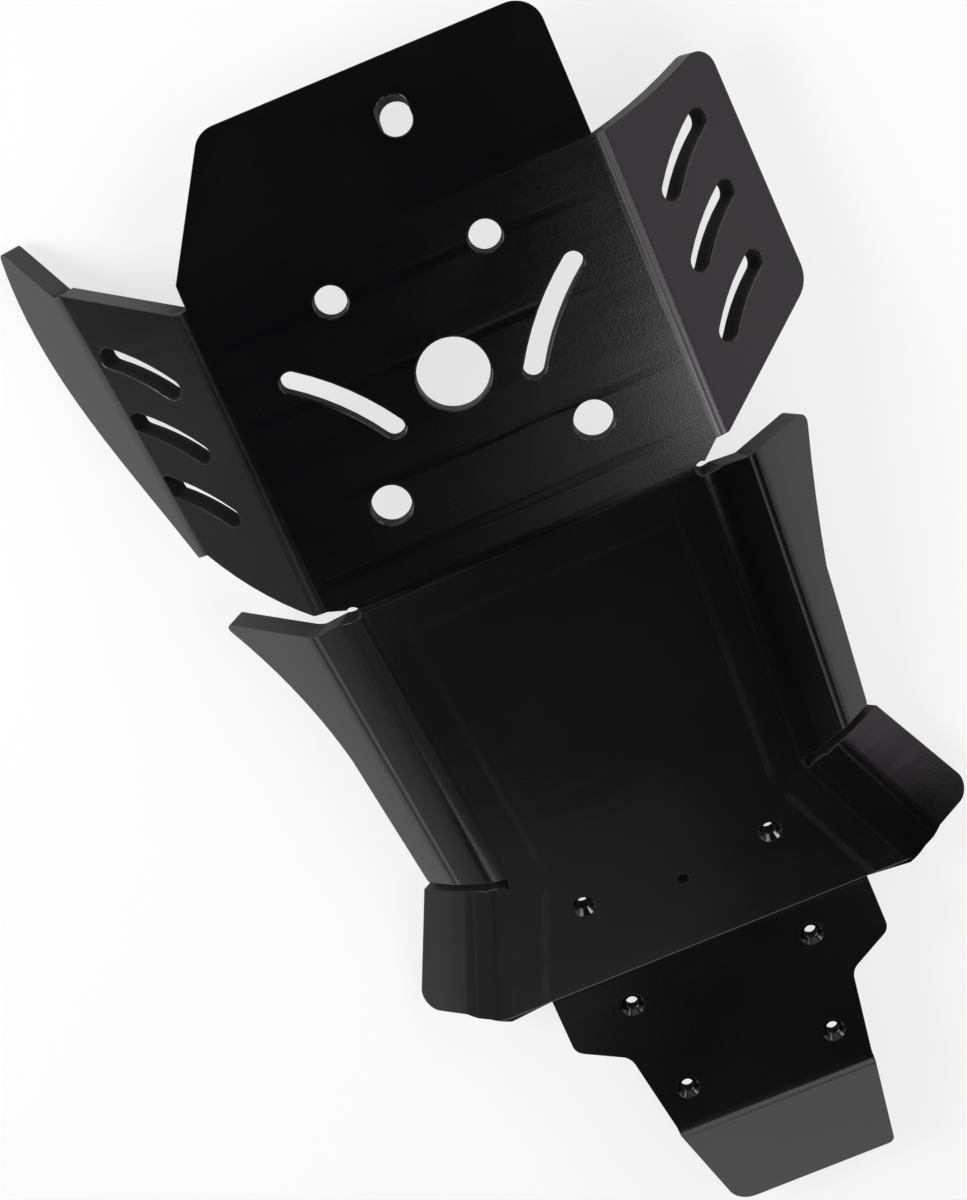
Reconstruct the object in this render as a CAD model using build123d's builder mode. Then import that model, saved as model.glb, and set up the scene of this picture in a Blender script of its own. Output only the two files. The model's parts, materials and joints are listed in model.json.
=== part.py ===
"""Motorcycle skid plate: one thick plastic sheet, cut flat, then folded and rolled round the engine.

The outer side of the plate, the one that meets the ground, faces up. The front of the bike is +Y.
Each leaf is drawn on its own outer face. Its points are given as (along the fold, away from the fold).
"""
import os
from math import cos, radians, sin, tan

from build123d import *

# Sheet, its broken rims, and how far the belly leans as the plate lies on its ears and its left lip
# Bend radii are those of the hollow side of each fold
thickness = 10.0
rim_break = 0.6
rest_lean = 10.0

# Belly, the flat middle of the plate, from its centre to the two cross folds
belly_front = 104.5
belly_rear = 145.7

# Front panel, folded back from the belly along a soft bend
front_angle = 12.0
front_radius = 18.0
front_length = 166.5
front_half_width = 102.0

# Top tab, folded back once more, cut away on its left side
tab_angle = 26.0
tab_radius = 15.0
tab_height_left = 62.3
tab_height_right = 59.8
tab_left_top = 64.0
tab_round_left = 12.0
tab_round_right = 14.0
tab_hole_width = 15.0
tab_hole_length = 19.5
tab_hole_x = 20.8
tab_hole_y = 32.3

# Linkage guard, folded out below the belly, and the tongue at its end
link_angle = 13.5
link_radius = 6.0
link_length = 93.7
link_half_width = 86.0
link_shoulder = 30.0
link_shoulder_round = 7.0
link_waist = 61.0
link_waist_at = 44.0
link_waist_round = 9.0
link_end_half_width = 54.0
tongue_angle = 18.0
tongue_radius = 8.0
tongue_length = 63.6
tongue_left = 42.0
tongue_right = 46.5
tongue_round_left = 12.0
tongue_round_right = 4.0

# Side wings of the front panel
wing_angle = 36.0
wing_radius = 1.5
wing_top = 160.0
wing_bottom_left = 6.0
wing_bottom_right = 11.0
wing_tip_right = (174.5, 70.7)
wing_crest_right = (163.2, 26.1)
wing_heel_right = (51.5, 75.7)
wing_tip_round = 10.0
wing_heel_round = 14.0
wing_curve_left = (27.3, 30.1)

# Three curved slots in each wing
wing_slot_count = 3
wing_slot_width = 10.0
wing_slot_inner = 21.1
wing_slot_outer = 49.6
wing_slot_rise = 22.0
wing_slot_sag = 1.6
wing_slot_first_left = 61.5
wing_slot_pitch_left = 33.0
wing_slot_first_right = 51.5
wing_slot_pitch_right = 35.0

# Outer lip of the left wing, bent along a line from its foot to its head
lip_angle = 14.0
lip_radius = 10.0
lip_foot = (46.0, 46.9)
lip_head = (184.0, 61.1)
lip_tip = (100.5, 24.0)
lip_tip_round = 3.0
lip_crest = (34.0, 33.5)
lip_flank = (-12.8, 22.2)
lip_end_width = 2.5

# Rolled edges of the belly: a main bend, a flat strip, and a slight second bend along the mark
# that the shoulder of the bending tool leaves
roll_angle = 32.0
roll_radius = 10.0
second_angle = 10.0
second_radius = 30.0

# Side flanges, from the front bend to the slits, the left one with a taller corner
# Their points are counted from the front end of the bend, outwards from the second bend
flange_middle_x = 82.1
flange_taper = 2.5
flange_gap = 0.6
flange_strip = 15.5
flange_notch = 4.7
flange_crown_left = (-3.1, 54.5)
flange_crown_right = (7.0, 39.0)
flange_crown_round_left = 3.0
flange_crown_round_right = 6.0
flange_hollow = (47.4, 26.7)
flange_shoulder = (83.9, 18.2)
flange_rear_width = 14.5
flange_rear_round = 6.0

# Ears behind the slits, their front points counted from the front end of the bend
# and the rear ones from its rear end
ear_front_x = 79.4
ear_gap = 3.2
ear_flare = 21.0
ear_run = 82.0
ear_strip = 7.0
ear_front_base = 3.0
ear_front_second = 4.2
ear_rear_second = 1.4
ear_front_corner = (9.5, 24.5)
ear_rear_corner = (10.0, 30.0)
ear_front_round = 8.0
ear_rear_round = 9.0

# Relief cuts that part the leaves from each other
relief_radius = 3.6
relief_inner = 84.0
slit_width = 4.2
slit_length = 60.0
slit_inner = 77.8
slit_y = -67.6

# Round holes of the front panel
upper_hole_radius = 7.5
upper_hole_x = 37.6
upper_hole_y = 138.0
centre_hole_radius = 17.0
centre_hole_y = 86.0
lower_hole_radius = 9.4
lower_hole_x = 50.2
lower_hole_y = 41.0

# Curved slots of the front panel
front_slot_width = 10.0
front_slot_outer = (69.0, 111.5)
front_slot_middle = (50.0, 94.4)
front_slot_inner = (34.5, 73.8)

# Screw holes, countersunk from the outer side, and a drain hole
screw_radius = 3.3
screw_head_radius = 6.0
belly_screw_x = 50.0
belly_screw_y = -97.5
link_screw_x = 49.0
link_screw_y = 16.8
tail_screw_x = 40.2
tail_screw_y = 71.0
drain_radius = 3.2
drain_x = 1.0
drain_y = -104.7


def outer_radius(angle, radius):
    """Radius of a fold on the outer face. A negative angle makes that face the hollow one."""
    return radius + thickness if angle > 0 else radius


def setback(angle, radius):
    """Distance from a fold's sharp corner to the start of its bend."""
    return outer_radius(angle, radius) * abs(tan(radians(angle) / 2))


def spot(plane, x, y):
    """The plane moved to a point of its own."""
    return Plane(origin=plane.from_local_coords((x, y, 0)), x_dir=plane.x_dir, z_dir=plane.z_dir)


def fold(root, x, y, heading, run, angle, radius):
    """Add a bend to the sheet and give the outer face of the leaf that follows it.

    The leaf's own y runs away from the bend. A positive angle folds away from the outer side.
    """
    lean = radians(angle)
    bend = outer_radius(angle, radius)
    out = root.x_dir * cos(radians(heading)) + root.y_dir * sin(radians(heading))
    along = out.cross(root.z_dir)
    middle = root.from_local_coords((x, y, 0))
    side = 1 if angle > 0 else -1
    with BuildSketch(Plane(origin=middle, x_dir=along, z_dir=out)) as section:
        Rectangle(run, thickness, align=(Align.CENTER, Align.MIN))
    hinge = Axis(middle - root.z_dir * bend * side, along * -side)
    revolve(section.sketch, axis=hinge, revolution_arc=abs(angle))
    start = middle + out * bend * abs(sin(lean)) - root.z_dir * bend * side * (1 - cos(lean))
    return Plane(origin=start, x_dir=along, z_dir=root.z_dir * cos(lean) + out * sin(lean))


def roll(root, x, y, heading, run, strip, near, far):
    """Add a rolled edge to the sheet and give the outer face of the leaf beyond its second bend.

    The strip between the two bends starts at the points near and ends at the points far, each a pair
    along the fold. The leaf's own x is counted from the middle of the main bend.
    """
    inner = fold(root, x, y, heading, run, roll_angle, roll_radius)
    with BuildSketch(inner) as band:
        with BuildLine():
            Polyline((near[0], 0), (near[1], 0), (far[1], strip), (far[0], strip), close=True)
        make_face()
    extrude(band.sketch, amount=-thickness)
    middle = (far[0] + far[1]) / 2
    outer = fold(inner, middle, strip, 90, abs(far[1] - far[0]), second_angle, second_radius)
    return spot(outer, -middle, 0)


def corner(x, y):
    """The outline corner nearest to a point."""
    return vertices().sort_by_distance(Vector(x, y, 0))[0]


def rims(leaf):
    """Rims of the openings in the outer face of a leaf."""
    skins = faces().filter_by(lambda face: face.normal_at().dot(leaf.z_dir) > 0.9999)
    return [edge for skin in skins for wire in skin.inner_wires() for edge in wire.edges()]


belly = Plane(
    origin=(0, 0, 0), x_dir=(1, 0, 0), z_dir=(0, -sin(radians(rest_lean)), cos(radians(rest_lean)))
)
front_back = setback(front_angle, front_radius)
tab_back = setback(tab_angle, tab_radius)
link_back = setback(-link_angle, link_radius)
tongue_back = setback(tongue_angle, tongue_radius)
front_start = belly_front - front_back
front_flat = front_length - front_back - tab_back
front_side = front_half_width - setback(wing_angle, wing_radius)
link_start = belly_rear - link_back
link_flat = link_length - link_back - tongue_back
tongue_flat = tongue_length - tongue_back
bend_half = relief_inner + 1.5 * relief_radius

# Bend lines of the flanges and the ears, on the right side
flange_run = (front_start - flange_gap - slit_y) / cos(radians(flange_taper))
flange_middle_y = (front_start - flange_gap + slit_y) / 2
flange_across = sin(radians(flange_taper)) * flange_run / 2
flange_front = (flange_middle_x + flange_across, front_start - flange_gap)
flange_rear = (flange_middle_x - flange_across, slit_y)
ear_front = (ear_front_x, slit_y - ear_gap)
ear_rear = (
    ear_front[0] + sin(radians(ear_flare)) * ear_run,
    ear_front[1] - cos(radians(ear_flare)) * ear_run,
)
ear_middle = ((ear_front[0] + ear_rear[0]) / 2, (ear_front[1] + ear_rear[1]) / 2)

with BuildPart() as sheet:
    # Belly
    with BuildSketch(belly):
        with BuildLine():
            Polyline(
                (-bend_half, front_start),
                (bend_half, front_start),
                flange_front,
                flange_rear,
                ear_front,
                ear_rear,
                (link_half_width, -link_start),
                (-link_half_width, -link_start),
                (-ear_rear[0], ear_rear[1]),
                (-ear_front[0], ear_front[1]),
                (-flange_rear[0], flange_rear[1]),
                (-flange_front[0], flange_front[1]),
                close=True,
            )
        make_face()
    extrude(amount=-thickness)

    # Front panel with its round holes and two curved slots
    front = fold(belly, 0, front_start, 90, 2 * bend_half, front_angle, front_radius)
    with BuildSketch(front):
        with BuildLine():
            Polyline(
                (-bend_half, 0),
                (bend_half, 0),
                (front_side, wing_bottom_right - front_back),
                (front_side, front_flat),
                (-front_side, front_flat),
                (-front_side, wing_bottom_left - front_back),
                close=True,
            )
        make_face()
        with Locations((0, centre_hole_y - front_back)):
            Circle(centre_hole_radius, mode=Mode.SUBTRACT)
        for side in (-1, 1):
            with Locations((side * upper_hole_x, upper_hole_y - front_back)):
                Circle(upper_hole_radius, mode=Mode.SUBTRACT)
            with Locations((side * lower_hole_x, lower_hole_y - front_back)):
                Circle(lower_hole_radius, mode=Mode.SUBTRACT)
            with BuildLine() as slot_path:
                ThreePointArc(
                    (side * front_slot_outer[0], front_slot_outer[1] - front_back),
                    (side * front_slot_middle[0], front_slot_middle[1] - front_back),
                    (side * front_slot_inner[0], front_slot_inner[1] - front_back),
                )
            SlotArc(slot_path.edges()[0], front_slot_width, mode=Mode.SUBTRACT)
    extrude(amount=-thickness)

    # Top tab
    tab = fold(front, 0, front_flat, 90, 2 * front_side, tab_angle, tab_radius)
    with BuildSketch(tab):
        with BuildLine():
            Polyline(
                (-front_side, 0),
                (front_side, 0),
                (front_side, tab_height_right),
                (-tab_left_top, tab_height_left),
                close=True,
            )
        make_face()
        fillet(corner(-tab_left_top, tab_height_left), tab_round_left)
        fillet(corner(front_side, tab_height_right), tab_round_right)
        with Locations((tab_hole_x, tab_hole_y)):
            SlotOverall(tab_hole_length, tab_hole_width, rotation=90, mode=Mode.SUBTRACT)
    extrude(amount=-thickness)

    # Linkage guard, whose own x runs to the left
    link = fold(belly, 0, -link_start, -90, 2 * link_half_width, -link_angle, link_radius)
    with BuildSketch(link):
        with BuildLine():
            Polyline(
                (-link_half_width, 0),
                (link_half_width, 0),
                (link_half_width, link_shoulder),
                (link_waist, link_waist_at),
                (link_end_half_width, link_flat),
                (-link_end_half_width, link_flat),
                (-link_waist, link_waist_at),
                (-link_half_width, link_shoulder),
                close=True,
            )
        make_face()
        for side in (-1, 1):
            fillet(corner(side * link_half_width, link_shoulder), link_shoulder_round)
            fillet(corner(side * link_waist, link_waist_at), link_waist_round)
    extrude(amount=-thickness)

    # Tongue at the rear end, whose own x runs to the left too
    tongue = fold(link, 0, link_flat, 90, 2 * link_end_half_width, tongue_angle, tongue_radius)
    with BuildSketch(tongue):
        with BuildLine():
            Polyline(
                (-link_end_half_width, 0),
                (link_end_half_width, 0),
                (tongue_left, tongue_flat),
                (-tongue_right, tongue_flat),
                close=True,
            )
        make_face()
        fillet(corner(tongue_left, tongue_flat), tongue_round_left)
        fillet(corner(-tongue_right, tongue_flat), tongue_round_right)
    extrude(amount=-thickness)

    # Right wing, whose own x runs to the rear
    right_middle = (wing_top + wing_bottom_right) / 2
    right_run = wing_top - wing_bottom_right
    right_wing = fold(front, front_side, right_middle - front_back, 0, right_run, wing_angle, wing_radius)
    right_tip = (right_middle - wing_tip_right[0], wing_tip_right[1])
    right_heel = (right_middle - wing_heel_right[0], wing_heel_right[1])
    with BuildSketch(right_wing):
        with BuildLine():
            Polyline(right_tip, right_heel, (right_run / 2, 0), (-right_run / 2, 0))
            ThreePointArc(
                (-right_run / 2, 0),
                (right_middle - wing_crest_right[0], wing_crest_right[1]),
                right_tip,
            )
        make_face()
        fillet(corner(*right_tip), wing_tip_round)
        fillet(corner(*right_heel), wing_heel_round)
        for row in range(wing_slot_count):
            base = right_middle - wing_slot_first_right - row * wing_slot_pitch_right
            with BuildLine() as slot_path:
                SagittaArc((base, wing_slot_inner), (base - wing_slot_rise, wing_slot_outer), wing_slot_sag)
            SlotArc(slot_path.edges()[0], wing_slot_width, mode=Mode.SUBTRACT)
    extrude(amount=-thickness)

    # Left wing up to the bend of its lip, whose own x runs to the front
    left_middle = (wing_top + wing_bottom_left) / 2
    left_run = wing_top - wing_bottom_left
    left_wing = fold(front, -front_side, left_middle - front_back, 180, left_run, wing_angle, wing_radius)
    left_foot = Vector(lip_foot[0] - left_middle, lip_foot[1])
    left_head = Vector(lip_head[0] - left_middle, lip_head[1])
    with BuildSketch(left_wing):
        with BuildLine():
            Polyline(left_foot, left_head, (left_run / 2, 0), (-left_run / 2, 0))
            ThreePointArc(
                (-left_run / 2, 0),
                (wing_curve_left[0] - left_middle, wing_curve_left[1]),
                left_foot,
            )
        make_face()
        for row in range(wing_slot_count):
            base = wing_slot_first_left + row * wing_slot_pitch_left - left_middle
            with BuildLine() as slot_path:
                SagittaArc((base, wing_slot_inner), (base + wing_slot_rise, wing_slot_outer), -wing_slot_sag)
            SlotArc(slot_path.edges()[0], wing_slot_width, mode=Mode.SUBTRACT)
    extrude(amount=-thickness)

    # Lip of the left wing
    lip_line = left_head - left_foot
    lip_run = lip_line.length
    lip_middle = (left_foot + left_head) / 2
    lip_heading = lip_line.get_angle(Vector(1, 0, 0)) + 90
    lip = fold(left_wing, lip_middle.X, lip_middle.Y, lip_heading, lip_run, lip_angle, lip_radius)
    with BuildSketch(lip):
        with BuildLine():
            Polyline((-lip_run / 2, lip_end_width), (-lip_run / 2, 0), (lip_run / 2, 0), lip_tip)
            Spline(lip_tip, lip_crest, lip_flank, (-lip_run / 2, lip_end_width))
        make_face()
        fillet(corner(*lip_tip), lip_tip_round)
    extrude(amount=-thickness)

    # Side flanges
    for side, crown, crown_round in (
        (1, flange_crown_right, flange_crown_round_right),
        (-1, flange_crown_left, flange_crown_round_left),
    ):
        heading = -flange_taper if side > 0 else 180 + flange_taper
        front_end = -side * flange_run / 2
        notch = front_end + side * flange_notch
        flange = roll(
            belly,
            side * flange_middle_x,
            flange_middle_y,
            heading,
            flange_run,
            flange_strip,
            (front_end, -front_end),
            (notch, -front_end),
        )
        rear_corner = (-front_end, flange_rear_width)
        front_corner = (front_end + side * crown[0], crown[1])
        shoulder = (front_end + side * flange_shoulder[0], flange_shoulder[1])
        with BuildSketch(flange):
            with BuildLine():
                Polyline(
                    shoulder,
                    rear_corner,
                    (-front_end, 0),
                    (notch, 0),
                    front_corner,
                )
                ThreePointArc(
                    front_corner, (front_end + side * flange_hollow[0], flange_hollow[1]), shoulder
                )
            make_face()
            fillet(corner(*front_corner), crown_round)
            fillet(corner(*rear_corner), flange_rear_round)
        extrude(amount=-thickness)

    # Rear ears
    for side in (1, -1):
        heading = ear_flare if side > 0 else 180 - ear_flare
        front_end = -side * ear_run / 2
        front_second = front_end + side * ear_front_second
        rear_second = side * ear_rear_second - front_end
        ear = roll(
            belly,
            side * ear_middle[0],
            ear_middle[1],
            heading,
            ear_run,
            ear_strip,
            (front_end + side * ear_front_base, -front_end),
            (front_second, rear_second),
        )
        front_corner = (front_end + side * ear_front_corner[0], ear_front_corner[1])
        rear_corner = (side * ear_rear_corner[0] - front_end, ear_rear_corner[1])
        with BuildSketch(ear):
            with BuildLine():
                Polyline((front_second, 0), (rear_second, 0), rear_corner, front_corner, close=True)
            make_face()
            fillet(corner(*rear_corner), ear_rear_round)
            fillet(corner(*front_corner), ear_front_round)
        extrude(amount=-thickness)

    # Relief cuts at the front corners of the belly
    with BuildSketch(belly):
        for side in (-1, 1):
            with Locations((side * (relief_inner + relief_radius), belly_front)):
                Circle(relief_radius)
    extrude(amount=2 * thickness, both=True, mode=Mode.SUBTRACT)

    # Slits between the flanges and the ears
    for side in (-1, 1):
        with BuildSketch(belly):
            with Locations((side * (slit_inner + slit_length / 2), slit_y)):
                SlotOverall(slit_length, slit_width, rotation=-side * flange_taper)
        extrude(amount=-slit_length, mode=Mode.SUBTRACT)

    # Broken outer rims of the large holes and the slots
    chamfer(rims(front) + rims(tab) + rims(right_wing) + rims(left_wing), rim_break)

    # Screw holes and drain
    for leaf, across, along in (
        (belly, belly_screw_x, belly_screw_y),
        (link, link_screw_x, link_screw_y),
        (link, tail_screw_x, tail_screw_y),
    ):
        with Locations(spot(leaf, -across, along), spot(leaf, across, along)):
            CounterSinkHole(screw_radius, screw_head_radius, depth=thickness)
    with Locations(spot(belly, drain_x, drain_y)):
        Hole(drain_radius, depth=thickness)

# The plate set down on the edges of its leaves, centred over the origin
box = sheet.part.bounding_box()
with BuildPart() as skid_plate:
    with Locations((-box.center().X, -box.center().Y, -box.min.Z)):
        add(sheet.part)

os.makedirs("parts", exist_ok=True)
skid_plate.part.label = "skid_plate"
export_step(skid_plate.part, "parts/skid_plate.step")
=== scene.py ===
"""Looks of a motorcycle skid plate: black polyethylene sheet, cut flat, then folded and rolled.

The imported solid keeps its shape. This script gives it the finish of the sheet, lays a pale floor
under it, sets soft studio light round it and looks at it from where the photograph was taken.
Lengths are in metres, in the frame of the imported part, unless a name ends in _mm.
"""

import json
import logging
import math
from dataclasses import dataclass
from enum import Enum
from typing import Any, Mapping, Sequence, Union

import bmesh
import bpy
from mathutils import Euler, Matrix, Vector

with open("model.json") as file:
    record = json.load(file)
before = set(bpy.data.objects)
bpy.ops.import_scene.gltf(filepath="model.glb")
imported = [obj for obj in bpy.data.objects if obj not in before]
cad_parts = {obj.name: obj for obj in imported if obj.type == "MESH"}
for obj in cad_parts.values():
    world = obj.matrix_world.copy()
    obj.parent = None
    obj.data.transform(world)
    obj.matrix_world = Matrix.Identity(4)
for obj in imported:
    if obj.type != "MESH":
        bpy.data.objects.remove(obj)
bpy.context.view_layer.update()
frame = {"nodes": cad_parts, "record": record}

LOG = logging.getLogger("skid_plate")
MM = 0.001

Triple = tuple[float, float, float]
Colour = Triple
Span = tuple[float, float]
Axis = tuple[Vector, Vector]
Feed = Union["Wire", float, int, Sequence[float]]

RIGHT: Triple = (1.0, 0.0, 0.0)
AHEAD: Triple = (0.0, 1.0, 0.0)
UP: Triple = (0.0, 0.0, 1.0)
WHITE: Colour = (1.0, 1.0, 1.0)
NOISE_MIDDLE = 0.5

# Headings straight over a leaf, counted from the line of its fold
AWAY_DEG = 90.0
BACK_DEG = -90.0


class Side(Enum):
    """A side of the plate, seen from above with its front ahead."""

    LEFT = -1
    RIGHT = 1


# Shader building


class Wire:
    """A socket that gives a value, colour or vector, with the operators that the finishes use."""

    def __init__(self, board: "Board", socket: bpy.types.NodeSocket) -> None:
        """Wrap a socket of a board."""
        self.board = board
        self.socket = socket

    def __add__(self, other: Feed) -> "Wire":
        """Sum of two values."""
        return self.board.math("ADD", self, other)

    def __radd__(self, other: Feed) -> "Wire":
        """Sum of two values."""
        return self.board.math("ADD", other, self)

    def __sub__(self, other: Feed) -> "Wire":
        """Difference of two values."""
        return self.board.math("SUBTRACT", self, other)

    def __rsub__(self, other: Feed) -> "Wire":
        """Difference of two values."""
        return self.board.math("SUBTRACT", other, self)

    def __mul__(self, other: Feed) -> "Wire":
        """Product of two values."""
        return self.board.math("MULTIPLY", self, other)

    def __rmul__(self, other: Feed) -> "Wire":
        """Product of two values."""
        return self.board.math("MULTIPLY", other, self)

    def __truediv__(self, other: Feed) -> "Wire":
        """Quotient of two values."""
        return self.board.math("DIVIDE", self, other)

    def __rtruediv__(self, other: Feed) -> "Wire":
        """Quotient of two values."""
        return self.board.math("DIVIDE", other, self)

    def __abs__(self) -> "Wire":
        """Value without its sign."""
        return self.board.math("ABSOLUTE", self)

    def least(self, other: Feed) -> "Wire":
        """The smaller of two values."""
        return self.board.math("MINIMUM", self, other)

    def most(self, other: Feed) -> "Wire":
        """The larger of two values."""
        return self.board.math("MAXIMUM", self, other)

    def between(self, low: float, high: float) -> "Wire":
        """Value that is low where this one is 0, and high where it is 1."""
        return low + self * (high - low)

    def rise(self, low: float, high: float) -> "Wire":
        """Smooth step from 0 at low to 1 at high, or down again where low is the larger.

        Args:
            low: Value at which the step is 0.
            high: Value at which the step is 1.

        Returns:
            The step, from 0 to 1.
        """
        if low > high:
            return 1 - self.rise(high, low)
        return self.board.wire(
            "ShaderNodeMapRange",
            {"interpolation_type": "SMOOTHSTEP"},
            {"Value": self, "From Min": low, "From Max": high},
        )

    def past(self, edge: float, span: Span) -> "Wire":
        """Smooth step over a span that is counted from an edge."""
        return self.rise(edge + span[0], edge + span[1])

    def band(self, middle: float, half: float, soft: float) -> "Wire":
        """Mask that is 1 near a value and fades to 0 on both sides of it.

        Args:
            middle: Value in the middle of the band.
            half: Half width of the band's full part.
            soft: Width over which the band fades.

        Returns:
            The mask, from 0 to 1.
        """
        return abs(self - middle).rise(half + soft, half)


class Board:
    """A node tree, and the one way in which nodes are added to it."""

    def __init__(self, tree: bpy.types.NodeTree) -> None:
        """Start on a tree, without the nodes that it comes with."""
        self.tree = tree
        tree.nodes.clear()

    def node(
        self,
        kind: str,
        settings: Mapping[str, Any] | None = None,
        sockets: Mapping[str | int, Feed] | None = None,
    ) -> bpy.types.Node:
        """Add a node.

        Args:
            kind: Type of the node.
            settings: Properties of the node, which are set before its sockets.
            sockets: Value of, or wire to, each socket that is not left as it is.

        Returns:
            The new node.
        """
        node = self.tree.nodes.new(kind)
        for name, value in (settings or {}).items():
            setattr(node, name, value)
        for key, feed in (sockets or {}).items():
            if isinstance(feed, Wire):
                self.tree.links.new(feed.socket, node.inputs[key])
            else:
                node.inputs[key].default_value = feed
        return node

    def wire(
        self,
        kind: str,
        settings: Mapping[str, Any] | None = None,
        sockets: Mapping[str | int, Feed] | None = None,
        output: str | int = 0,
    ) -> Wire:
        """Add a node and take one of its outputs.

        Args:
            kind: Type of the node.
            settings: Properties of the node.
            sockets: Values of, or wires to, its sockets.
            output: Name or number of the output.

        Returns:
            The output.
        """
        return Wire(self, self.node(kind, settings, sockets).outputs[output])

    def math(self, operation: str, *values: Feed) -> Wire:
        """Result of a Math node on one or two values."""
        return self.wire("ShaderNodeMath", {"operation": operation}, dict(enumerate(values)))

    def vector(self, operation: str, *vectors: Feed, output: str = "Vector") -> Wire:
        """Result of a Vector Math node on one or two vectors."""
        sockets = dict(enumerate(vectors))
        return self.wire("ShaderNodeVectorMath", {"operation": operation}, sockets, output)

    def dot(self, first: Feed, second: Feed) -> Wire:
        """Dot product of two vectors, as a value."""
        return self.vector("DOT_PRODUCT", first, second, output="Value")

    def combine(self, *values: Feed) -> Wire:
        """Vector of three values."""
        return self.wire("ShaderNodeCombineXYZ", sockets=dict(enumerate(values)))

    def mix(self, share: Feed, first: Feed, second: Feed) -> Wire:
        """Colour between two colours.

        Args:
            share: Share of the second colour.
            first: Colour where the share is 0.
            second: Colour where the share is 1.

        Returns:
            The mixed colour.
        """
        sockets = {"Factor": share, 6: _opaque(first), 7: _opaque(second)}
        return self.wire("ShaderNodeMix", {"data_type": "RGBA"}, sockets, 2)

    def blend(self, share: Wire, first: Wire, second: Wire) -> Wire:
        """Shader between two shaders, from the share of the second."""
        return self.wire("ShaderNodeMixShader", sockets={0: share, 1: first, 2: second})

    def noise(self, where: Wire, grains: float = 1.0, detail: float = 2.0) -> Wire:
        """Soft noise from about 0 to 1.

        Args:
            where: Place at which the noise is read.
            grains: Grains to one unit of the place, which is a metre unless it is stretched.
            detail: Finer layers that are added.

        Returns:
            The noise.
        """
        sockets = {"Vector": where, "Scale": grains, "Detail": detail}
        return self.wire("ShaderNodeTexNoise", sockets=sockets)

    def show(self, output: str, shader: Wire) -> None:
        """Lead a shader to the output of the tree."""
        self.node(output, sockets={"Surface": shader})


def _opaque(colour: Feed) -> Feed:
    """Colour with full opacity, where it is given as three numbers."""
    return colour if isinstance(colour, Wire) else (*colour, 1.0)


def _new_material(name: str) -> tuple[bpy.types.Material, Board]:
    """Start a material.

    Args:
        name: Name of the material.

    Returns:
        The material, and the board of its tree.
    """
    material = bpy.data.materials.new(name)
    material.use_nodes = True
    return material, Board(material.node_tree)


# Frames of the leaves, for marks that follow the folds


@dataclass(frozen=True)
class Leaf:
    """Outer face of one leaf of the folded sheet.

    Its along runs with the fold that it starts from, away runs away from that fold.
    """

    start: Vector
    along: Vector
    away: Vector

    @property
    def out(self) -> Vector:
        """Direction out of the outer face."""
        return self.along.cross(self.away)

    def spot(self, along: float, away: float) -> Vector:
        """Point of the face."""
        return self.start + self.along * along + self.away * away

    def bent(
        self, along: float, away: float, heading_deg: float, angle_deg: float, radius: float = 0.0
    ) -> "Leaf":
        """Leaf behind a bend of this leaf.

        Args:
            along: Place along this leaf's fold where the bend starts.
            away: Place away from this leaf's fold where the bend starts.
            heading_deg: Direction in which the sheet crosses the bend, from this leaf's along.
            angle_deg: Angle of the bend, positive where the sheet folds back from its outer side.
            radius: Radius of the bend on the outer face, 0 for a sharp corner.

        Returns:
            The next leaf.
        """
        heading, angle = math.radians(heading_deg), math.radians(angle_deg)
        ahead = self.along * math.cos(heading) + self.away * math.sin(heading)
        turn = math.copysign(1.0, angle_deg)
        reach = ahead * radius * abs(math.sin(angle))
        drop = self.out * radius * turn * (1 - math.cos(angle))
        return Leaf(
            self.spot(along, away) + reach - drop,
            ahead.cross(self.out),
            ahead * math.cos(angle) - self.out * math.sin(angle),
        )

    def read_along(self, board: Board, place: Wire) -> Wire:
        """Distance of a place along the fold."""
        return board.dot(place, self.along) - self.along.dot(self.start)

    def read_away(self, board: Board, place: Wire) -> Wire:
        """Distance of a place away from the fold."""
        return board.dot(place, self.away) - self.away.dot(self.start)


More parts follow.
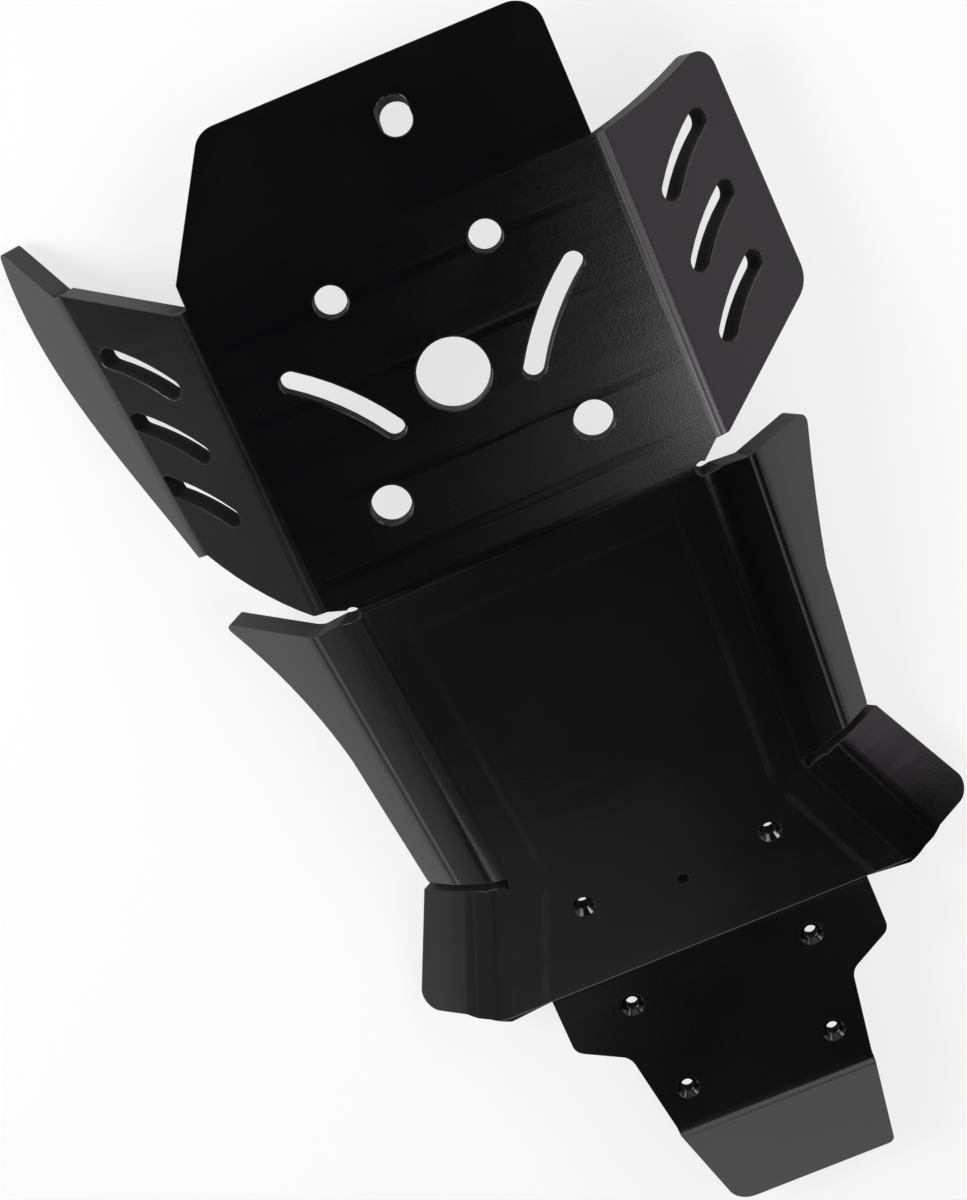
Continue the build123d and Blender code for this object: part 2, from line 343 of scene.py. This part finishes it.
@dataclass(frozen=True)
class Folding:
    """Folds of the sheet that leave marks on it, with the sizes that the part's source has."""

    belly_middle: Vector = Vector((6.671, -15.366, 61.453)) * MM
    rest_lean_deg: float = 10.0
    front_fold: float = 104.5 * MM
    front_angle_deg: float = 12.0
    front_half_width: float = 102.0 * MM
    link_fold: float = -145.7 * MM
    link_angle_deg: float = -13.5
    link_length: float = 93.7 * MM
    tongue_angle_deg: float = 18.0
    roll_angle_deg: float = 32.0
    roll_radius: float = 20.0 * MM
    flange_middle: Vector = Vector((82.1, 16.8)) * MM
    flange_taper_deg: float = 2.5
    flange_strip: float = 15.5 * MM
    slit_y: float = -67.6 * MM
    slit_soft: Span = (-1.0 * MM, 1.0 * MM)
    ear_middle: Vector = Vector((94.1, -109.1)) * MM
    ear_flare_deg: float = 21.0
    ear_strip: float = 7.0 * MM

    @property
    def roll_arc(self) -> float:
        """Length of the outer face round a main bend."""
        return self.roll_radius * math.radians(self.roll_angle_deg)

    def belly(self) -> Leaf:
        """Belly, the flat middle of the plate."""
        lean = math.radians(self.rest_lean_deg)
        return Leaf(self.belly_middle, Vector(RIGHT), Vector((0, math.cos(lean), math.sin(lean))))

    def front(self) -> Leaf:
        """Front panel, counted from the sharp corner of the fold in front of the belly."""
        return self.belly().bent(0, self.front_fold, AWAY_DEG, self.front_angle_deg)

    def tongue(self) -> Leaf:
        """Tongue at the rear end, counted from the sharp corner of its fold."""
        link = self.belly().bent(0, self.link_fold, BACK_DEG, self.link_angle_deg)
        return link.bent(0, self.link_length, AWAY_DEG, self.tongue_angle_deg)

    def flange(self) -> Leaf:
        """Strip of the right side flange, behind its main bend."""
        return self._strip(self.flange_middle, -self.flange_taper_deg)

    def ear(self) -> Leaf:
        """Strip of the right ear, behind its main bend."""
        return self._strip(self.ear_middle, self.ear_flare_deg)

    def _strip(self, middle: Vector, heading_deg: float) -> Leaf:
        """Strip behind a main bend of the belly."""
        angle, radius = self.roll_angle_deg, self.roll_radius
        return self.belly().bent(middle.x, middle.y, heading_deg, angle, radius)

    def rolled(self, board: Board, place: Wire) -> Wire:
        """Distance out from the start of the nearest roll, measured along the bent sheet.

        Both halves of the plate have the same rolls, so the left half is read as the right one.

        Args:
            board: Tree of the material.
            place: Place on the plate.

        Returns:
            The distance, negative on the belly.
        """
        belly = self.belly()
        middle = self.belly_middle.x
        across = abs(board.dot(place, RIGHT) - middle) + middle
        mirrored = board.combine(across, board.dot(place, AHEAD), board.dot(place, UP))
        bend_reach = math.sin(math.radians(self.roll_angle_deg))
        reaches = []
        for leaf in (self.flange(), self.ear()):
            outward = belly.out.cross(leaf.along)
            start = outward.dot(leaf.start) - self.roll_radius * bend_reach
            out = board.dot(mirrored, outward) - start
            turned = board.math("ARCSINE", (out / self.roll_radius).most(0.0).least(bend_reach))
            away = leaf.read_away(board, mirrored)
            reaches.append(out.least(0.0) + turned * self.roll_radius + away.most(0.0))
        flange, ear = reaches
        beside = belly.read_away(board, place).past(self.slit_y, self.slit_soft)
        return ear + (flange - ear) * beside


class Bearings:
    """Where a place on the plate lies, as distances that the leaves and folds give."""

    def __init__(self, board: Board, folding: Folding) -> None:
        """Read the place that is being coloured.

        Args:
            board: Tree of the material.
            folding: Folds of the plate.
        """
        self.board = board
        self.folding = folding
        self.place = board.wire("ShaderNodeTexCoord", output="Object")
        self.facing = board.wire("ShaderNodeNewGeometry", output="Normal")
        self.across = folding.belly().read_along(board, self.place)
        self.belly_ahead = folding.belly().read_away(board, self.place)
        self.front_ahead = folding.front().read_away(board, self.place)
        self.tongue_away = folding.tongue().read_away(board, self.place)
        self.rolled = folding.rolled(board, self.place)


# Marks of the bending tools


@dataclass(frozen=True)
class ToolMark:
    """Line that a tool presses into the sheet, with a full middle and soft sides."""

    depth_mm: float
    half_width: float
    soft: float

    def line(self, beside: Wire, middle: float) -> Wire:
        """Mask of the line, from a distance that is measured across it."""
        return beside.band(middle, self.half_width, self.soft)

    def sunk(self, mask: Wire) -> Wire:
        """Height in millimetres, from the mask of a line."""
        return mask * -self.depth_mm

    def groove(self, beside: Wire, middle: float) -> Wire:
        """Height of the line in millimetres, from a distance that is measured across it."""
        return self.sunk(self.line(beside, middle))


@dataclass(frozen=True)
class BrakeStreaks:
    """Streaks across the front panel, where the bending brake polished the sheet."""

    distances_mm: tuple[float, ...] = (1.7, 18.4, 52.6, 99.0, 137.0)
    mark: ToolMark = ToolMark(0.08, 0.8 * MM, 2.6 * MM)
    wander: float = 3.0 * MM
    broken: Span = (0.2, 0.5)
    drawn: Span = (0.55, 0.75)
    drawn_share: float = 0.35
    rear_end: Span = (0.0, 2.0 * MM)
    left_end: Span = (-98.0 * MM, -92.0 * MM)
    right_end: Span = (97.0 * MM, 40.0 * MM)

    def mask(self, spot: Bearings, waves: Wire, drawn: Wire) -> Wire:
        """Draw the streaks.

        Args:
            spot: Place on the plate.
            waves: Slow unevenness, which bends and breaks the streaks.
            drawn: Unevenness that is drawn out across the plate.

        Returns:
            The mask, 1 in a streak.
        """
        ahead = spot.front_ahead + self.wander * waves
        middles = [distance * MM + self.wander * NOISE_MIDDLE for distance in self.distances_mm]
        streaks = sum(self.mark.line(ahead, middle) for middle in middles)
        streaks = streaks * waves.rise(*self.broken)
        streaks = streaks.most(self.drawn_share * drawn.rise(*self.drawn))
        sides = spot.across.rise(*self.left_end) * spot.across.rise(*self.right_end)
        return streaks * sides * ahead.rise(*self.rear_end)


@dataclass(frozen=True)
class PressedLines:
    """Light lines on the belly beside its bends, where the sheet lay on the shoulder of the tool.

    Each end is a span ahead of the fold or slit that it is named for. The lines are full up to
    full_to ahead of the slit, and fade from there to the line across the belly.
    """

    mark: ToolMark = ToolMark(0.02, 1.0 * MM, 1.4 * MM)
    inset: float = 17.5 * MM
    front_end: Span = (-14.0 * MM, -18.0 * MM)
    slit_end: Span = (-2.0 * MM, 2.0 * MM)
    ear_slit_end: Span = (-12.0 * MM, -14.0 * MM)
    link_end: Span = (0.0, 2.0 * MM)
    full_to: float = 50.0 * MM
    faint_share: float = 0.35
    cross_inset: float = 20.0 * MM
    cross_share: float = 0.4
    cross_end: Span = (68.0 * MM, 60.0 * MM)

    def mask(self, spot: Bearings) -> Wire:
        """Draw the lines.

        Args:
            spot: Place on the plate.

        Returns:
            The mask, 1 on a line.
        """
        ahead, folding = spot.belly_ahead, spot.folding
        front, slit, link = folding.front_fold, folding.slit_y, folding.link_fold
        flange = ahead.past(slit, self.slit_end) * ahead.past(front, self.front_end)
        ear = ahead.past(slit, self.ear_slit_end) * ahead.past(link, self.link_end)
        cross_at = front - self.cross_inset
        fading = ahead.rise(cross_at, slit + self.full_to).between(self.faint_share, 1.0)
        lines = self.mark.line(spot.rolled, -self.inset) * (flange + ear) * fading
        cross = self.mark.line(ahead, cross_at) * abs(spot.across).rise(*self.cross_end)
        return lines.most(self.cross_share * cross)


@dataclass(frozen=True)
class RollMarks:
    """Grooves, stripes and slight bows that the two steps of a roll leave on flanges and ears."""

    start_line: ToolMark = ToolMark(0.03, 0.3 * MM, 1.8 * MM)
    start_at: float = -2.0 * MM
    second_line: ToolMark = ToolMark(0.13, 0.3 * MM, 1.9 * MM)
    second_at: float = 2.0 * MM
    second_run: float = 4.0 * MM
    stripes_per_metre: float = 170.0
    stripe_breaks_per_metre: float = 6.0
    stripe_shift: float = 7.0
    stripe_start: Span = (-4.0 * MM, 1.0 * MM)
    stripe_depth_mm: float = 0.03
    bow_rise: float = 0.045
    bow_fall: float = 0.3
    bow_length: float = 9.0 * MM
    front_end: Span = (0.0, -4.0 * MM)

    def height(self, spot: Bearings) -> Wire:
        """Height of the marks.

        Args:
            spot: Place on the plate.

        Returns:
            The height in millimetres.
        """
        board, folding = spot.board, spot.folding
        ahead, rolled = spot.belly_ahead, spot.rolled
        beside = ahead.past(folding.slit_y, folding.slit_soft)
        second = folding.roll_arc + beside.between(folding.ear_strip, folding.flange_strip)
        height = self.second_line.groove(rolled - second, self.second_at)
        height = height + self.start_line.groove(rolled, self.start_at)
        drawn_out = board.combine(
            rolled * self.stripes_per_metre,
            ahead * self.stripe_breaks_per_metre,
            beside * self.stripe_shift,
        )
        stripes = board.noise(drawn_out, detail=1.0) * rolled.rise(*self.stripe_start)
        height = height + stripes * self.stripe_depth_mm
        for begin in (folding.roll_arc, second + self.second_run):
            height = height + self._bow((rolled - begin).most(0.0))
        return height * ahead.past(folding.front_fold, self.front_end)

    def _bow(self, out: Wire) -> Wire:
        """Height in millimetres of the bow behind a bend, at a distance out from it."""
        fade = out.board.math("EXPONENT", out / -self.bow_length)
        return ((1 - fade) * self.bow_length - out * self.bow_fall) * (self.bow_rise / MM)


@dataclass(frozen=True)
class FoldGrooves:
    """Crisp grooves at the folds of the linkage guard and the wings, a soft one on the tongue."""

    crisp_line: ToolMark = ToolMark(0.14, 0.2 * MM, 1.1 * MM)
    link_share: float = 0.6
    wing_share: float = 1.5
    wing_start: Span = (0.0, 4.0 * MM)
    tongue_line: ToolMark = ToolMark(0.13, 0.3 * MM, 2.2 * MM)
    tongue_at: float = 3.4 * MM

    def height(self, spot: Bearings) -> Wire:
        """Height of the grooves.

        Args:
            spot: Place on the plate.

        Returns:
            The height in millimetres.
        """
        link = self.crisp_line.groove(spot.belly_ahead, spot.folding.link_fold)
        wings = self.crisp_line.groove(abs(spot.across), spot.folding.front_half_width)
        wings = wings * spot.front_ahead.rise(*self.wing_start)
        tongue = self.tongue_line.groove(spot.tongue_away, self.tongue_at)
        return self.link_share * link + self.wing_share * wings + tongue


# Finishes


@dataclass(frozen=True)
class SheetFinish:
    """Black polyethylene sheet: satin, finely pebbled, marked by cutting and bending."""

    colour: Colour = (0.0013, 0.0010, 0.0014)
    cloudy_colour: Colour = (0.0020, 0.0016, 0.0021)
    pressed_colour: Colour = (0.0036, 0.0031, 0.0037)
    worn_colour: Colour = (0.0140, 0.0134, 0.0142)
    cut_colour: Colour = (0.0420, 0.0406, 0.0424)
    # Painted shade: colour of the cut faces deep in holes and slits, where ambient occlusion
    # darkens them
    painted_shade_colour: Colour = (0.0030, 0.0028, 0.0031)
    roughness: float = 0.17
    pressed_roughness: float = 0.22
    polished_roughness: float = 0.11
    worn_roughness: float = 0.32
    screw_seat_roughness: float = 0.16
    cut_roughness: float = 0.45
    deep_roughness: float = 0.95
    cut_gloss: float = 0.2
    light_bend: float = 1.54

    clouds_per_metre: float = 14.0
    cloud_span: Span = (0.35, 0.7)
    cloud_share: float = 0.6
    cloud_sheen: float = 0.04
    pebbles_per_metre: float = 1150.0
    pebble_depth_mm: float = 0.014
    pebble_share: float = 0.25
    pebble_sheen: float = 0.08
    pebbles_in_streaks: float = 0.3
    waves_per_metre: float = 22.0
    wave_depth_mm: float = 0.05
    drawn_per_metre: Triple = (5.0, 60.0, 5.0)
    drawn_depth_mm: float = 0.12

    streaks: BrakeStreaks = BrakeStreaks()
    pressed: PressedLines = PressedLines()
    rolls: RollMarks = RollMarks()
    folds: FoldGrooves = FoldGrooves()
    least_pressed: float = 0.5
    least_worn: float = 0.4

    probes: int = 4
    arris_radius: float = 0.6 * MM
    worn_span: Span = (0.98, 0.85)
    open_reach: float = 60.0 * MM
    open_span: Span = (0.5, 1.0)
    skin_span: Span = (0.585, 0.625)
    under_span: Span = (0.0, 0.02)
    outer_span: Span = (0.25, 0.35)
    seat_edge: Span = (6.1 * MM, 5.9 * MM)
    bore_edge: Span = (3.35 * MM, 3.6 * MM)

    def material(self, folding: Folding, seats: Sequence[Axis]) -> bpy.types.Material:
        """Make the material.

        Args:
            folding: Folds that the marks follow.
            seats: Point on, and direction of, the axis of each countersunk hole.

        Returns:
            The material.
        """
        material, board = _new_material("black_polyethylene_sheet")
        spot = Bearings(board, folding)
        rounding = {"Radius": self.arris_radius}
        arris = board.wire("ShaderNodeBevel", {"samples": self.probes}, rounding)
        skin, seat = self._skin(spot), self._seats(spot, seats)
        plastic, cut = self._plastic(spot, arris, skin, seat), self._cut(board, arris)
        sheet = board.blend((1 - skin) * (1 - seat), plastic, cut)
        board.show("ShaderNodeOutputMaterial", sheet)
        return material

    def _plastic(self, spot: Bearings, arris: Wire, skin: Wire, seat: Wire) -> Wire:
        """Shader of the skin and of the screw seats.

        Args:
            spot: Place on the plate.
            arris: Direction out of the surface, with its arrises rounded.
            skin: Mask of the skin.
            seat: Mask of the screw seats.

        Returns:
            The shader.
        """
        board, place = spot.board, spot.place
        cloud = board.noise(place, self.clouds_per_metre).rise(*self.cloud_span)
        pebbles = board.noise(place, self.pebbles_per_metre, detail=0.0)
        waves = board.noise(place, self.waves_per_metre, detail=0.0)
        drawn = board.noise(board.vector("MULTIPLY", place, self.drawn_per_metre))
        streaks = self.streaks.mask(spot, waves, drawn)
        pressed = self.pressed.mask(spot)
        worn = board.dot(arris, spot.facing).rise(*self.worn_span)
        worn = worn * cloud.between(self.least_worn, 1.0)

        cloudy = cloud * self.cloud_share + pebbles * self.pebble_share
        dulled = pressed * cloud.between(self.least_pressed, 1.0)
        colour = board.mix(cloudy, self.colour, self.cloudy_colour)
        colour = board.mix(dulled, colour, self.pressed_colour)
        colour = board.mix(worn, colour, self.worn_colour)

        rough = self.roughness + self.cloud_sheen * (cloud - NOISE_MIDDLE)
        rough = rough + self.pebble_sheen * (pebbles - NOISE_MIDDLE)
        rough = rough + pressed * (self.pressed_roughness - self.roughness)
        rough = rough + streaks * (self.polished_roughness - self.roughness)
        rough = rough + worn * (self.worn_roughness - self.roughness)
        rough = rough * (1 - seat) + self.screw_seat_roughness * seat

        height = pebbles * streaks.between(1.0, self.pebbles_in_streaks) * self.pebble_depth_mm
        height = height + waves * self.wave_depth_mm + drawn * self.drawn_depth_mm
        height = height + self.streaks.mark.sunk(streaks) + self.pressed.mark.sunk(pressed)
        height = height + self.rolls.height(spot) + self.folds.height(spot)
        relief = {"Distance": MM, "Height": height * skin * (1 - seat), "Normal": arris}
        return board.wire(
            "ShaderNodeBsdfPrincipled",
            sockets={
                "Base Color": colour,
                "Roughness": rough,
                "IOR": self.light_bend,
                "Normal": board.wire("ShaderNodeBump", sockets=relief),
            },
        )

    def _cut(self, board: Board, arris: Wire) -> Wire:
        """Shader of the cut faces, with painted shade that darkens them deep in holes and slits.

        Args:
            board: Tree of the material.
            arris: Direction out of the surface, with its arrises rounded.

        Returns:
            The shader.
        """
        # Painted shade: ambient occlusion darkens the cut faces' colour, and roughens them, deep
        # in holes and slits
        settings = {"samples": self.probes, "only_local": True}
        reach = {"Distance": self.open_reach}
        lit = board.wire("ShaderNodeAmbientOcclusion", settings, reach, "AO").rise(*self.open_span)
        return board.wire(
            "ShaderNodeBsdfPrincipled",
            sockets={
                "Base Color": board.mix(lit, self.painted_shade_colour, self.cut_colour),
                "Roughness": lit.between(self.deep_roughness, self.cut_roughness),
                "IOR": self.light_bend,
                "Specular IOR Level": self.cut_gloss,
                "Normal": arris,
            },
        )

    def _skin(self, spot: Bearings) -> Wire:
        """Mask of the rolled skin of the sheet, which leaves out its cut edges.

        Args:
            spot: Place on the plate.

        Returns:
            The mask, 1 on the skin and 0 on a cut edge.
        """
        board = spot.board
        up = board.dot(spot.facing, UP)
        side = board.math("SIGN", board.dot(spot.place, RIGHT))
        outward = board.dot(spot.facing, RIGHT) * side
        outer_edge = (0 - up).rise(*self.under_span) * outward.rise(*self.outer_span)
        return abs(up).rise(*self.skin_span) * (1 - outer_edge)

    def _seats(self, spot: Bearings, seats: Sequence[Axis]) -> Wire:
        """Mask of the turned seats of the screws, without the bores below them.

        Args:
            spot: Place on the plate.
            seats: Point on, and direction of, the axis of each countersunk hole.

        Returns:
            The mask, 1 in a seat.
        """
        board = spot.board
        masks = []
        for point, axis in seats:
            beside = board.vector("SUBTRACT", spot.place, point)
            swing = board.vector("CROSS_PRODUCT", beside, axis)
            radius = board.vector("LENGTH", swing, output="Value")
            masks.append(radius.rise(*self.seat_edge) * radius.rise(*self.bore_edge))
        return sum(masks)


@dataclass(frozen=True)
class FloorFinish:
    """Plain pale studio floor, which stays white to the eye and keeps a soft shadow."""

    colour: Colour = (0.86, 0.86, 0.86)
    white_glow: float = 1.0
    white_share: float = 0.75

    def material(self) -> bpy.types.Material:
        """Make the material.

        Returns:
            The material.
        """
        material, board = _new_material("pale_floor")
        paint = board.wire("ShaderNodeBsdfDiffuse", sockets={"Color": _opaque(self.colour)})
        white = board.wire("ShaderNodeEmission", sockets={"Strength": self.white_glow})
        seen = board.wire("ShaderNodeLightPath", output="Is Camera Ray")
        for ray in ("Is Glossy Ray", "Is Transmission Ray"):
            seen = seen.most(board.wire("ShaderNodeLightPath", output=ray))
        floor = board.blend(seen * self.white_share, paint, white)
        board.show("ShaderNodeOutputMaterial", floor)
        return material


# Pieces and the studio


@dataclass
class SkidPlate:
    """The plate itself, one folded sheet."""

    node_name: str = "skid_plate"
    screw_mounts: tuple[str, ...] = ("belly_screws", "link_screws", "tail_screws")
    folding: Folding = Folding()
    finish: SheetFinish = SheetFinish()

    def seats(self, record: Mapping[str, Any]) -> list[Axis]:
        """Axes of the countersunk holes, which lie in pairs across the plate.

        Args:
            record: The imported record, whose mounts are these holes.

        Returns:
            Point on, and direction of, each axis.
        """
        axes = []
        for mount in record["mounts"]:
            if mount["name"] not in self.screw_mounts:
                continue
            middle, axis = Vector(mount["pos_m"]), Vector(mount["axis"]).normalized()
            apart = Vector(RIGHT) * (mount["dims"]["pcd_mm"] * MM / 2)
            axes.extend((middle + apart * side.value, axis) for side in Side)
        return axes

    def dress(
        self, nodes: Mapping[str, bpy.types.Object], record: Mapping[str, Any]
    ) -> bpy.types.Object:
        """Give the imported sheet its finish.

        Args:
            nodes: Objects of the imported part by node.
            record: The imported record.

        Returns:
            The dressed object.
        """
        sheet = nodes[self.node_name]
        material = self.finish.material(self.folding, self.seats(record))
        if not sheet.material_slots:
            sheet.data.materials.append(material)
        for slot in sheet.material_slots:
            slot.material = material
        return sheet


@dataclass
class Floor:
    """Wide pale floor under the plate."""

    half_width: float = 6.0
    finish: FloorFinish = FloorFinish()

    def build(self) -> bpy.types.Object:
        """Lay the floor.

        Returns:
            The floor.
        """
        mesh = bpy.data.meshes.new("floor")
        shape = bmesh.new()
        bmesh.ops.create_grid(shape, x_segments=1, y_segments=1, size=self.half_width)
        shape.to_mesh(mesh)
        shape.free()
        floor = bpy.data.objects.new("floor", mesh)
        bpy.context.scene.collection.objects.link(floor)
        floor.data.materials.append(self.finish.material())
        return floor


@dataclass(frozen=True)
class SoftBox:
    """Flat studio lamp that faces the plate."""

    name: str
    azimuth_deg: float
    elevation_deg: float
    width: float
    height: float
    glow: float
    colour: Colour = WHITE
    distance: float = 1.3
    aim: Triple = (0.0, 0.0, 0.05)

    def build(self) -> bpy.types.Object:
        """Hang the lamp.

        Returns:
            The lamp.
        """
        lamp = bpy.data.lights.new(self.name, "AREA")
        lamp.shape = "RECTANGLE"
        lamp.size, lamp.size_y = self.width, self.height
        lamp.energy = self.glow * self.width * self.height * math.pi
        lamp.color = self.colour
        lit = bpy.data.objects.new(self.name, lamp)
        turn, climb = math.radians(self.azimuth_deg), math.radians(self.elevation_deg)
        level = math.cos(climb)
        back = Vector((math.cos(turn) * level, math.sin(turn) * level, math.sin(climb)))
        lit.location = Vector(self.aim) + back * self.distance
        lit.rotation_euler = back.to_track_quat("Z", "Y").to_euler()
        lit.visible_camera = False
        bpy.context.scene.collection.objects.link(lit)
        return lit


@dataclass
class Studio:
    """Lamps and the room round the plate: pale low down, dark overhead.

    Each lamp has its azimuth and elevation in degrees, its width and height, and its glow.
    """

    lamps: tuple[SoftBox, ...] = (
        SoftBox("lamp_left", 150, 38, 0.66, 0.42, 14.0),
        SoftBox("lamp_front_right", 34, 33, 0.66, 0.42, 4.0),
        SoftBox("lamp_left_low", 150, 15, 0.5, 0.22, 6.0),
        SoftBox("lamp_front_right_low", 34, 17, 0.5, 0.22, 3.0),
        SoftBox("lamp_front", 90, 16, 1.4, 0.26, 0.8),
        SoftBox("lamp_rear", -105, 24, 1.3, 0.42, 1.3),
        SoftBox("lamp_right", 0, 49, 0.64, 0.95, 2.05, (1.0, 0.97, 1.0)),
        SoftBox("lamp_over", -25, 71, 0.30, 0.56, 2.6, (1.0, 0.97, 1.0)),
        SoftBox("lamp_rear_right", -45, 60, 0.5, 0.4, 1.4),
        SoftBox("lamp_low_right", -5, 13.5, 0.62, 0.57, 0.8, (1.0, 0.91, 0.98)),
        SoftBox("fill_over", -60, 80, 0.34, 0.34, 0.2),
        SoftBox("fill_over_left", -135, 60, 0.62, 0.5, 0.25),
        SoftBox("fill_rear_high", -116, 51, 0.9, 0.3, 0.07),
        SoftBox("fill_rear", -120, 39, 1.0, 0.34, 0.21),
        SoftBox("fill_left", -162, 18, 1.0, 0.6, 0.24),
        SoftBox("fill_fold_left", -165, 45, 0.3, 0.3, 1.0),
        SoftBox("fill_front", 90, 28, 4.0, 0.5, 0.6, distance=4.0),
    )
    low_colour: Colour = (0.75, 0.75, 0.75)
    high_colour: Colour = (0.03, 0.03, 0.03)
    fades: Span = (0.02, 0.17)
    room_glow: float = 1.0

    def build(self) -> None:
        """Hang the lamps and paint the room."""
        for lamp in self.lamps:
            lamp.build()
            LOG.info("lamp %s hung", lamp.name)
        world = bpy.data.worlds.new("studio_room")
        world.use_nodes = True
        bpy.context.scene.world = world
        board = Board(world.node_tree)
        height = board.dot(board.wire("ShaderNodeTexCoord", output="Generated"), UP)
        shade = board.mix(height.rise(*self.fades), self.low_colour, self.high_colour)
        sockets = {"Color": shade, "Strength": self.room_glow}
        board.show("ShaderNodeOutputWorld", board.wire("ShaderNodeBackground", sockets=sockets))


@dataclass
class PhotoCamera:
    """Camera at the place from which the photograph was taken."""

    location: Triple = (0.0823, 0.4511, 1.2194)
    turn_deg: Triple = (-18.968, -2.6155, -22.9778)
    lens_mm: float = 78.0
    frame_height_mm: float = 36.0

    def build(self) -> bpy.types.Object:
        """Set up the camera and make it the scene's own.

        Returns:
            The camera.
        """
        data = bpy.data.cameras.new("photo_camera")
        data.sensor_fit = "VERTICAL"
        data.sensor_height = self.frame_height_mm
        data.lens = self.lens_mm
        camera = bpy.data.objects.new("photo_camera", data)
        turn = Euler([math.radians(angle) for angle in self.turn_deg], "XYZ")
        camera.matrix_world = Matrix.Translation(self.location) @ turn.to_matrix().to_4x4()
        bpy.context.scene.collection.objects.link(camera)
        bpy.context.scene.camera = camera
        return camera


def main() -> None:
    """Dress the plate and set up its studio."""
    logging.basicConfig(level=logging.INFO, format="%(name)s: %(message)s")
    bpy.context.scene.view_settings.view_transform = "Standard"
    PhotoCamera().build()
    plate = SkidPlate().dress(frame["nodes"], frame["record"])
    LOG.info("%s dressed in %s", plate.name, plate.material_slots[0].material.name)
    floor = Floor().build()
    LOG.info("%s laid", floor.name)
    Studio().build()


if __name__ == "__main__":
    main()
